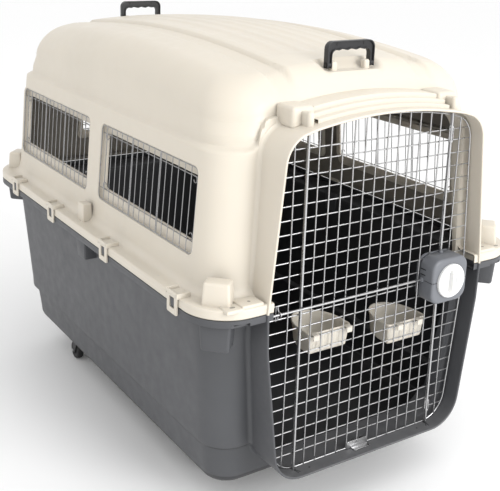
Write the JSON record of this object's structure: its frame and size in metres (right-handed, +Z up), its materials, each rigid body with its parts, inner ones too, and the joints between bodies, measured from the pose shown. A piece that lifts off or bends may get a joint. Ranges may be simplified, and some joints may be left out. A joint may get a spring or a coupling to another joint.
{
  "type": "pet transport carrier",
  "caption": "Large two-shell pet carrier with a hinged wire door, rod lock, side windows, hanging bowls, folding handles, rim clips and swivel casters.",
  "frame": {"origin": "centre of the bounding box on the floor under the wheels", "axes": "+Z up, the door faces -Y, +X to the right when facing the door from outside"},
  "size_m": [0.8232, 1.228, 0.972],
  "materials": {
    "cream_shell": "fine moulded grain",
    "cream_clip": "fine moulded grain",
    "cream_bowl": "smooth moulded",
    "grey_base": "fine moulded grain",
    "lock_grey": "satin moulded",
    "knob_white": "semi gloss",
    "black_plastic": "satin moulded",
    "wheel_rubber": "matte",
    "zinc_wire": "bright zinc plating"
  },
  "bodies": {
    "carrier": {"top_shell": "cream_shell", "base_shell": "grey_base", "window_grille_left_front": "zinc_wire", "window_grille_right_front": "zinc_wire", "window_grille_left_rear": "zinc_wire", "window_grille_right_rear": "zinc_wire", "window_grille_back": "zinc_wire"},
    "door": {"door_grille": "zinc_wire", "hinge_rod": "zinc_wire", "lock_housing": "lock_grey", "lock_cover": "lock_grey", "lock_screws": "zinc_wire", "bolt_guides": "zinc_wire", "side_bolt_eye": "zinc_wire", "door_pull_tab": "zinc_wire"},
    "knob": {"lock_knob": "knob_white", "lock_pinion": "black_plastic"},
    "upper_bolt": {"upper_bolt": "zinc_wire"},
    "lower_bolt": {"lower_bolt": "zinc_wire"},
    "side_bolt": {"side_bolt": "zinc_wire"},
    "water_bowl": {"water_bowl": "cream_bowl"},
    "food_bowl": {"food_bowl": "cream_bowl"},
    "handle_front": {"handle_front": "black_plastic"},
    "handle_rear": {"handle_rear": "black_plastic"},
    "rim_clip_left_1": {"rim_clip_left_1": "cream_clip"},
    "rim_clip_right_1": {"rim_clip_right_1": "cream_clip"},
    "rim_clip_left_2": {"rim_clip_left_2": "cream_clip"},
    "rim_clip_right_2": {"rim_clip_right_2": "cream_clip"},
    "rim_clip_left_3": {"rim_clip_left_3": "cream_clip"},
    "rim_clip_right_3": {"rim_clip_right_3": "cream_clip"},
    "rim_clip_left_4": {"rim_clip_left_4": "cream_clip"},
    "rim_clip_right_4": {"rim_clip_right_4": "cream_clip"},
    "caster_front_left": {"caster_fork_front_left": "black_plastic", "caster_axle_front_left": "zinc_wire"},
    "wheel_front_left": {"caster_wheel_front_left": "wheel_rubber"},
    "caster_front_right": {"caster_fork_front_right": "black_plastic", "caster_axle_front_right": "zinc_wire"},
    "wheel_front_right": {"caster_wheel_front_right": "wheel_rubber"},
    "caster_rear_left": {"caster_fork_rear_left": "black_plastic", "caster_axle_rear_left": "zinc_wire"},
    "wheel_rear_left": {"caster_wheel_rear_left": "wheel_rubber"},
    "caster_rear_right": {"caster_fork_rear_right": "black_plastic", "caster_axle_rear_right": "zinc_wire"},
    "wheel_rear_right": {"caster_wheel_rear_right": "wheel_rubber"}
  },
  "joints": [
    {"name": "door_swing", "type": "hinge", "parent": "carrier", "child": "door", "pos_m": [-0.182, -0.56252, 0.496], "axis": [0, 0, -1], "range_deg": [0, 110]},
    {"name": "knob_turn", "type": "hinge", "parent": "door", "child": "knob", "pos_m": [0.178, -0.6, 0.48], "axis": [0, -1, 0], "range_deg": [0, 90]},
    {"name": "upper_bolt_slide", "type": "slide", "parent": "door", "child": "upper_bolt", "axis": [0, 0, 1], "range_m": [0, 0.014]},
    {"name": "lower_bolt_slide", "type": "slide", "parent": "door", "child": "lower_bolt", "axis": [0, 0, -1], "range_m": [0, 0.014]},
    {"name": "side_bolt_slide", "type": "slide", "parent": "door", "child": "side_bolt", "axis": [-1, 0, 0], "range_m": [0, 0.02]},
    {"name": "water_bowl_lift", "type": "slide", "parent": "door", "child": "water_bowl", "axis": [0, 0, 1], "range_m": [0, 0.016]},
    {"name": "food_bowl_lift", "type": "slide", "parent": "door", "child": "food_bowl", "axis": [0, 0, 1], "range_m": [0, 0.016]},
    {"name": "handle_front_fold", "type": "hinge", "parent": "carrier", "child": "handle_front", "pos_m": [0, -0.444, 0.925], "axis": [1, 0, 0], "range_deg": [0, 85]},
    {"name": "handle_rear_fold", "type": "hinge", "parent": "carrier", "child": "handle_rear", "pos_m": [0, 0.484, 0.925], "axis": [-1, 0, 0], "range_deg": [0, 85]},
    {"name": "rim_clip_left_1_turn", "type": "hinge", "parent": "carrier", "child": "rim_clip_left_1", "pos_m": [-0.408, -0.46, 0.5205], "axis": [0, 1, 0], "range_deg": [0, 110]},
    {"name": "rim_clip_right_1_turn", "type": "hinge", "parent": "carrier", "child": "rim_clip_right_1", "pos_m": [0.408, -0.46, 0.5205], "axis": [0, -1, 0], "range_deg": [0, 110]},
    {"name": "rim_clip_left_2_turn", "type": "hinge", "parent": "carrier", "child": "rim_clip_left_2", "pos_m": [-0.408, -0.148, 0.5205], "axis": [0, 1, 0], "range_deg": [0, 110]},
    {"name": "rim_clip_right_2_turn", "type": "hinge", "parent": "carrier", "child": "rim_clip_right_2", "pos_m": [0.408, -0.148, 0.5205], "axis": [0, -1, 0], "range_deg": [0, 110]},
    {"name": "rim_clip_left_3_turn", "type": "hinge", "parent": "carrier", "child": "rim_clip_left_3", "pos_m": [-0.408, 0.158, 0.5205], "axis": [0, 1, 0], "range_deg": [0, 110]},
    {"name": "rim_clip_right_3_turn", "type": "hinge", "parent": "carrier", "child": "rim_clip_right_3", "pos_m": [0.408, 0.158, 0.5205], "axis": [0, -1, 0], "range_deg": [0, 110]},
    {"name": "rim_clip_left_4_turn", "type": "hinge", "parent": "carrier", "child": "rim_clip_left_4", "pos_m": [-0.408, 0.409, 0.5205], "axis": [0, 1, 0], "range_deg": [0, 110]},
    {"name": "rim_clip_right_4_turn", "type": "hinge", "parent": "carrier", "child": "rim_clip_right_4", "pos_m": [0.408, 0.409, 0.5205], "axis": [0, -1, 0], "range_deg": [0, 110]},
    {"name": "caster_front_left_swivel", "type": "hinge", "parent": "carrier", "child": "caster_front_left", "pos_m": [-0.235, -0.32, 0.072], "axis": [0, 0, 1], "continuous": true},
    {"name": "wheel_front_left_spin", "type": "hinge", "parent": "caster_front_left", "child": "wheel_front_left", "pos_m": [-0.235, -0.306, 0.025], "axis": [1, 0, 0], "continuous": true},
    {"name": "caster_front_right_swivel", "type": "hinge", "parent": "carrier", "child": "caster_front_right", "pos_m": [0.235, -0.32, 0.072], "axis": [0, 0, 1], "continuous": true},
    {"name": "wheel_front_right_spin", "type": "hinge", "parent": "caster_front_right", "child": "wheel_front_right", "pos_m": [0.235, -0.306, 0.025], "axis": [1, 0, 0], "continuous": true},
    {"name": "caster_rear_left_swivel", "type": "hinge", "parent": "carrier", "child": "caster_rear_left", "pos_m": [-0.272, 0.326, 0.072], "axis": [0, 0, 1], "continuous": true},
    {"name": "wheel_rear_left_spin", "type": "hinge", "parent": "caster_rear_left", "child": "wheel_rear_left", "pos_m": [-0.272, 0.34, 0.025], "axis": [1, 0, 0], "continuous": true},
    {"name": "caster_rear_right_swivel", "type": "hinge", "parent": "carrier", "child": "caster_rear_right", "pos_m": [0.272, 0.326, 0.072], "axis": [0, 0, 1], "continuous": true},
    {"name": "wheel_rear_right_spin", "type": "hinge", "parent": "caster_rear_right", "child": "wheel_rear_right", "pos_m": [0.272, 0.34, 0.025], "axis": [1, 0, 0], "continuous": true}
  ],
  "couplings": [
    {"joint": "upper_bolt_slide", "follows": "knob_turn", "m_per_rad": 0.008912},
    {"joint": "lower_bolt_slide", "follows": "knob_turn", "m_per_rad": 0.008912},
    {"joint": "side_bolt_slide", "follows": "knob_turn", "m_per_rad": 0.012732}
  ]
}
